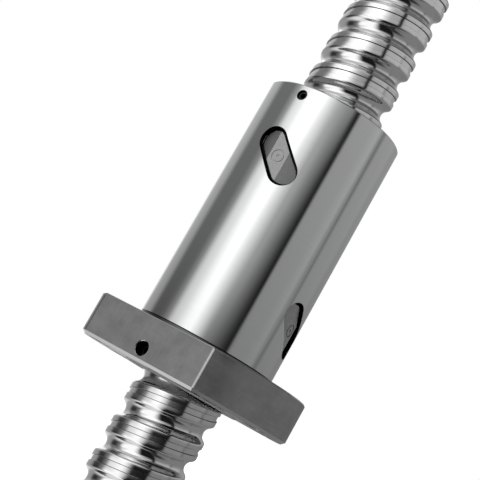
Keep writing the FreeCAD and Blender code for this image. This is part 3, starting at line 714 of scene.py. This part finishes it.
def make_tent():
    """A soft tent of light round the nut, with boxes and flags, and white paper for the camera."""
    world = bpy.data.worlds.new("studio")
    bpy.context.scene.world = world
    world.use_nodes = True
    tree = world.node_tree
    tree.nodes.clear()
    direction = add_node(tree, "ShaderNodeTexCoord").outputs["Generated"]
    rise = add_node(tree, "ShaderNodeSeparateXYZ", {0: direction}).outputs["Z"]
    turn = Matrix.Rotation(math.radians(VIEW_AZIMUTH), 3, "Z")
    right, front = turn @ Vector((1, 0, 0)), turn @ Vector((0, -1, 0))
    across = add_node(
        tree, "ShaderNodeVectorMath", {0: direction, 1: right}, operation="DOT_PRODUCT"
    ).outputs["Value"]
    ahead = add_node(
        tree, "ShaderNodeVectorMath", {0: direction, 1: front}, operation="DOT_PRODUCT"
    ).outputs["Value"]
    angle = add_node(tree, "ShaderNodeMath", {0: across, 1: ahead}, operation="ARCTAN2").outputs[0]
    height = add_node(tree, "ShaderNodeMath", {0: rise}, operation="ARCSINE").outputs[0]
    share = add_node(
        tree, "ShaderNodeMapRange",
        {"Value": angle, "From Min": -math.pi, "From Max": math.pi, "To Min": 0.0, "To Max": 1.0},
    ).outputs["Result"]
    wall = add_node(tree, "ShaderNodeValToRGB", {"Fac": share})
    ramp = wall.color_ramp
    for degrees, grey in TENT_WALL:
        stop = ramp.elements.new((degrees + 180) / 360)
        stop.color = colour(grey)
    # The two stops that every ramp comes with.
    ramp.elements.remove(ramp.elements[0])
    ramp.elements.remove(ramp.elements[-1])
    tone = wall.outputs["Color"]
    for name, azimuths, azimuth_edge, heights, height_edge, grey in PANELS:
        cover = panel_cover(tree, angle, height, azimuths, azimuth_edge, heights, height_edge)
        tone = add_node(
            tree, "ShaderNodeMix", {"Factor": cover, "A": tone, "B": colour(grey)},
            data_type="RGBA", name=name,
        ).outputs["Result"]
    strength = add_node(
        tree, "ShaderNodeMapRange",
        {"Value": rise, "From Min": 0.0, "From Max": TENT_CLIMB, "To Min": TENT_LOW,
         "To Max": TENT_HIGH},
    ).outputs["Result"]
    tent = add_node(tree, "ShaderNodeBackground", {"Color": tone, "Strength": strength})
    paper = add_node(tree, "ShaderNodeBackground", {"Color": colour("#ffffff"), "Strength": 1.0})
    seen = add_node(tree, "ShaderNodeLightPath").outputs["Is Camera Ray"]
    shown = add_node(
        tree, "ShaderNodeMixShader",
        {0: seen, 1: tent.outputs["Background"], 2: paper.outputs["Background"]},
    )
    add_node(tree, "ShaderNodeOutputWorld", {"Surface": shown.outputs["Shader"]})


def make_floor():
    """White paint under the nut. The steel mirrors the tent instead."""
    mesh = bmesh.new()
    bmesh.ops.create_grid(mesh, x_segments=1, y_segments=1, size=FLOOR_SIZE)
    floor = new_piece("floor", mesh)
    floor.location.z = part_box("screw_shaft")[0][2] - FLOOR_GAP
    floor.visible_glossy = False
    give(floor, white_floor_paint())


def new_lamp(name, kind):
    """A lamp that neither the camera nor the steel sees: the steel mirrors the tent alone."""
    data = bpy.data.lights.new(name, kind)
    lamp = bpy.data.objects.new(name, data)
    bpy.context.scene.collection.objects.link(lamp)
    lamp.visible_camera = False
    lamp.visible_glossy = False
    return lamp


def make_lamps():
    for name, azimuth, height, size, watts in LAMPS:
        lamp = new_lamp(name, "AREA")
        lamp.data.shape = "RECTANGLE"
        lamp.data.size, lamp.data.size_y = size
        lamp.data.energy = watts
        turn = Matrix.Rotation(math.radians(azimuth), 3, "Z")
        lamp.location = turn @ Vector((0, -LAMP_DISTANCE, 0)) + Vector((0, 0, height))
        lamp.rotation_euler = (-lamp.location).to_track_quat("-Z", "Y").to_euler()

    ceiling = new_lamp("ceiling", "SUN")
    ceiling.data.energy = CEILING_STRENGTH
    ceiling.data.angle = math.radians(CEILING_SPREAD)


def make_camera():
    """The photograph's camera, rolled about its own line of sight."""
    data = bpy.data.cameras.new("photo_camera")
    data.sensor_fit = "HORIZONTAL"
    data.angle = 2 * math.atan(PHOTO_SIZE / 2 / FOCAL_PIXELS)
    camera = bpy.data.objects.new("photo_camera", data)
    bpy.context.scene.collection.objects.link(camera)
    bpy.context.scene.camera = camera
    turn = Matrix.Rotation(math.radians(VIEW_AZIMUTH), 3, "Z")
    tilt = math.radians(VIEW_ELEVATION)
    back = turn @ Vector((0, -math.cos(tilt), math.sin(tilt)))
    right = turn @ Vector((1, 0, 0))
    up = turn @ Vector((0, math.sin(tilt), math.cos(tilt)))
    roll = math.radians(VIEW_ROLL)
    across = right * math.cos(roll) + up * math.sin(roll)
    upright = up * math.cos(roll) - right * math.sin(roll)
    camera.matrix_world = Matrix.Translation(VIEW_TARGET + back * VIEW_DISTANCE) @ Matrix(
        (across, upright, back)
    ).transposed().to_4x4()


make_camera()
make_tent()
make_floor()
make_lamps()
bpy.context.scene.view_settings.view_transform = "Standard"

nut_steel = ground_bearing_steel()
screw_steel = rolled_screw_steel()
insert_steel = sintered_steel()
wiper_plastic = turned_acetal()
ball_steel = small_steel("polished_ball_steel", "#dadada", 0.03, 0.06, 1 * MM)
spring_steel = small_steel("drawn_spring_wire", "#a8a8a8", 0.25, 0.35, 0.3 * MM)
black_steel = small_steel("black_oxide_steel", "#303030", 0.25, 0.4, 0.3 * MM)

# By how a node's name starts. The first match counts, so the springs come before their wipers.
materials = {
    "nut_body": nut_steel,
    "deflector": insert_steel,
    "ball_circuit": ball_steel,
    "front_wiper_spring": spring_steel,
    "rear_wiper_spring": spring_steel,
    "front_wiper": wiper_plastic,
    "rear_wiper": wiper_plastic,
    "front_set_screw": black_steel,
    "rear_set_screw": black_steel,
}
for name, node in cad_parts.items():
    for start, material in materials.items():
        if name.startswith(start):
            give(node, material)
            smooth_by_angle(node, SOLID_EDGE)
            break

screw = make_screw()
give(screw, screw_steel)
smooth_by_angle(screw, THREAD_EDGE)
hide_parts("screw_shaft")
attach(screw, "screw")

bpy.context.view_layer.update()
